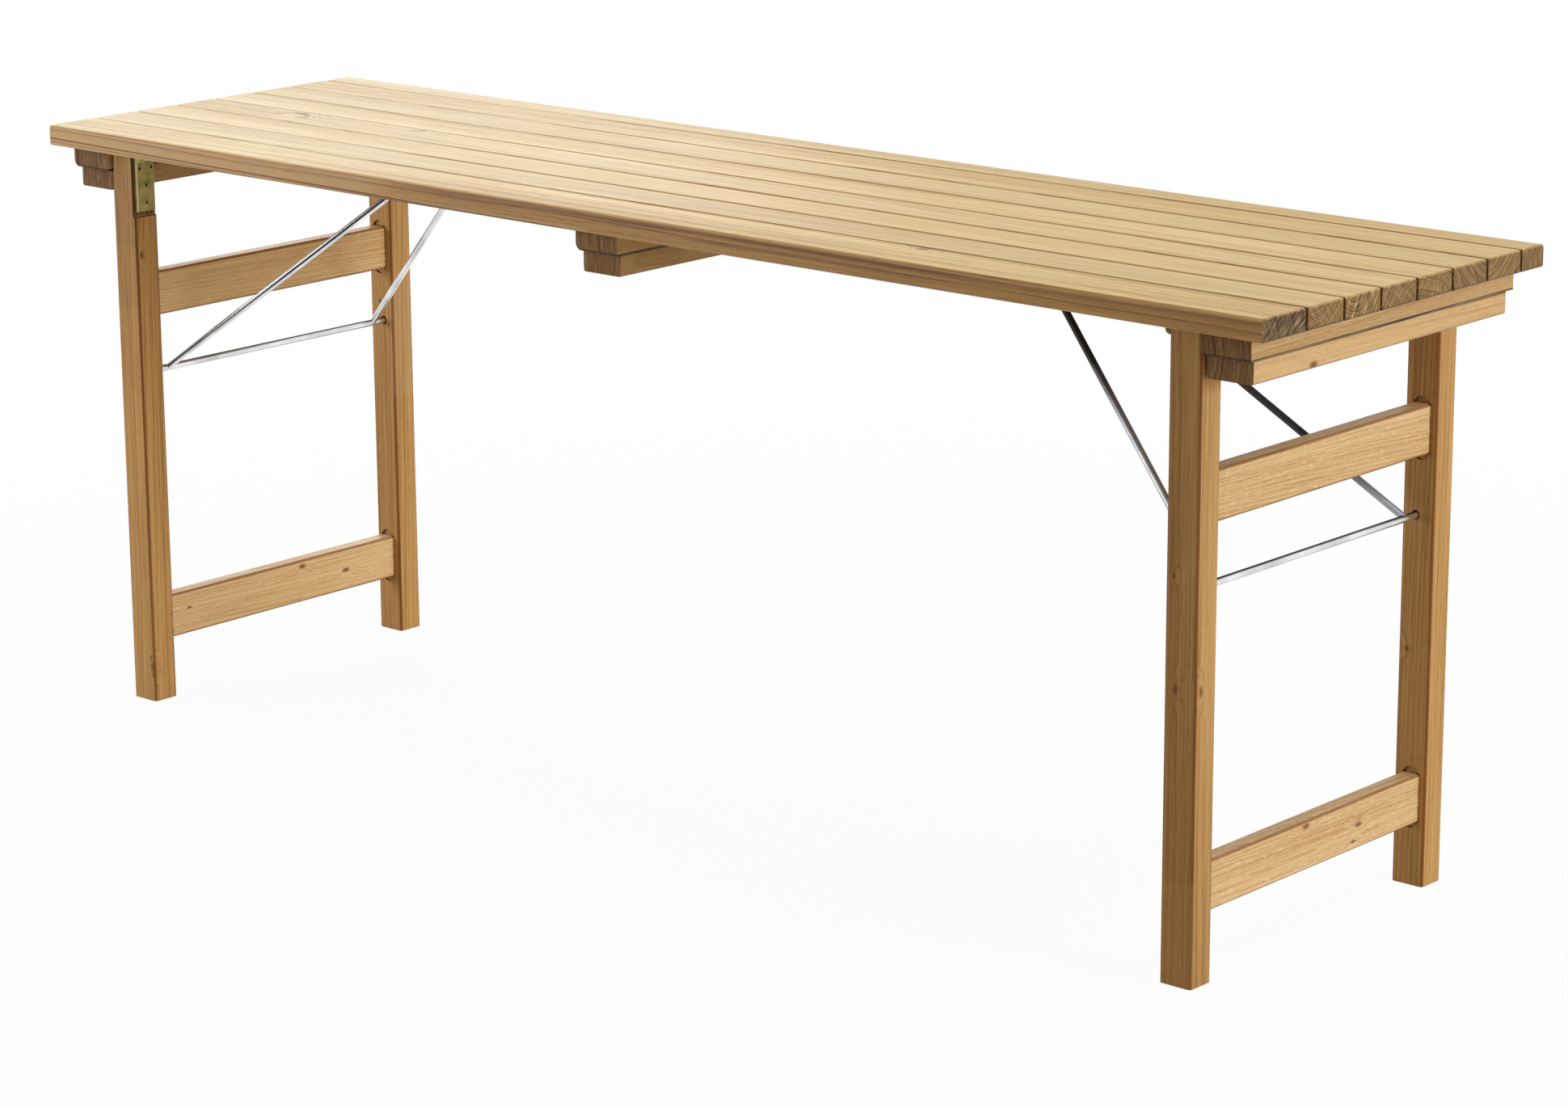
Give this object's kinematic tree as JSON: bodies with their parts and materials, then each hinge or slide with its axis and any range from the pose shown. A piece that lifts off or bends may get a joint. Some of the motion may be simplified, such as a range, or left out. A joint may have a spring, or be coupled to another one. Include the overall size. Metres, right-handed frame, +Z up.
{
  "type": "folding trestle table",
  "caption": "Slatted wooden folding table: a long narrow top on battens, hinged leg frames with rails, and steel-rod stays that swing up into keepers under the top.",
  "frame": {"origin": "on the floor under the middle of the top", "axes": "+X along the table to the right, +Y across it to the back, +Z up; the wide slat is at the front"},
  "size_m": [1.8, 0.5, 0.71],
  "materials": {
    "slat_wood": "planed, clear oiled",
    "batten_wood": "planed, clear oiled",
    "leg_wood": "planed, clear oiled",
    "rail_wood": "planed, clear oiled",
    "hinge_steel": "yellow-passivated zinc",
    "rod_steel": "bright zinc",
    "keeper_steel": "bright zinc",
    "screw_steel": "yellow-passivated zinc"
  },
  "bodies": {
    "tabletop": {"slat_1": "slat_wood", "slat_2": "slat_wood", "slat_3": "slat_wood", "slat_4": "slat_wood", "slat_5": "slat_wood", "slat_6": "slat_wood", "slat_7": "slat_wood", "slat_8": "slat_wood", "left_upper_batten": "batten_wood", "middle_upper_batten": "batten_wood", "right_upper_batten": "batten_wood", "left_lower_batten": "batten_wood", "middle_lower_batten": "batten_wood", "right_lower_batten": "batten_wood", "left_front_hinge_top_leaf": "hinge_steel", "left_back_hinge_top_leaf": "hinge_steel", "left_stay_keeper": "keeper_steel", "right_front_hinge_top_leaf": "hinge_steel", "right_back_hinge_top_leaf": "hinge_steel", "right_stay_keeper": "keeper_steel", "batten_screws": "screw_steel", "top_leaf_screws": "screw_steel", "keeper_screws": "screw_steel"},
    "left_leg_frame": {"left_front_leg": "leg_wood", "left_back_leg": "leg_wood", "left_upper_rail": "rail_wood", "left_lower_rail": "rail_wood", "left_front_hinge_leg_leaf": "hinge_steel", "left_front_hinge_pin": "hinge_steel", "left_back_hinge_leg_leaf": "hinge_steel", "left_back_hinge_pin": "hinge_steel", "left_hinge_screws": "screw_steel"},
    "left_stay": {"left_stay_bar": "rod_steel", "left_stay_front_arm": "rod_steel", "left_stay_back_arm": "rod_steel", "left_stay_nose": "rod_steel"},
    "right_leg_frame": {"right_front_leg": "leg_wood", "right_back_leg": "leg_wood", "right_upper_rail": "rail_wood", "right_lower_rail": "rail_wood", "right_front_hinge_leg_leaf": "hinge_steel", "right_front_hinge_pin": "hinge_steel", "right_back_hinge_leg_leaf": "hinge_steel", "right_back_hinge_pin": "hinge_steel", "right_hinge_screws": "screw_steel"},
    "right_stay": {"right_stay_bar": "rod_steel", "right_stay_front_arm": "rod_steel", "right_stay_back_arm": "rod_steel", "right_stay_nose": "rod_steel"}
  },
  "joints": [
    {"name": "left_leg_fold", "type": "hinge", "parent": "tabletop", "child": "left_leg_frame", "pos_m": [-0.7704, 0, 0.6797], "axis": [0, -1, 0], "range_deg": [0, 90]},
    {"name": "left_stay_swing", "type": "hinge", "parent": "left_leg_frame", "child": "left_stay", "pos_m": [-0.7892, 0, 0.4125], "axis": [0, 1, 0], "range_deg": [0, 126.6]},
    {"name": "right_leg_fold", "type": "hinge", "parent": "tabletop", "child": "right_leg_frame", "pos_m": [0.7704, 0, 0.6797], "axis": [0, 1, 0], "range_deg": [0, 90]},
    {"name": "right_stay_swing", "type": "hinge", "parent": "right_leg_frame", "child": "right_stay", "pos_m": [0.7892, 0, 0.4125], "axis": [0, -1, 0], "range_deg": [0, 126.6]}
  ],
  "couplings": [
    {"joint": "left_stay_swing", "follows": "left_leg_fold", "ratio": 1.4061},
    {"joint": "right_stay_swing", "follows": "right_leg_fold", "ratio": 1.4061}
  ]
}
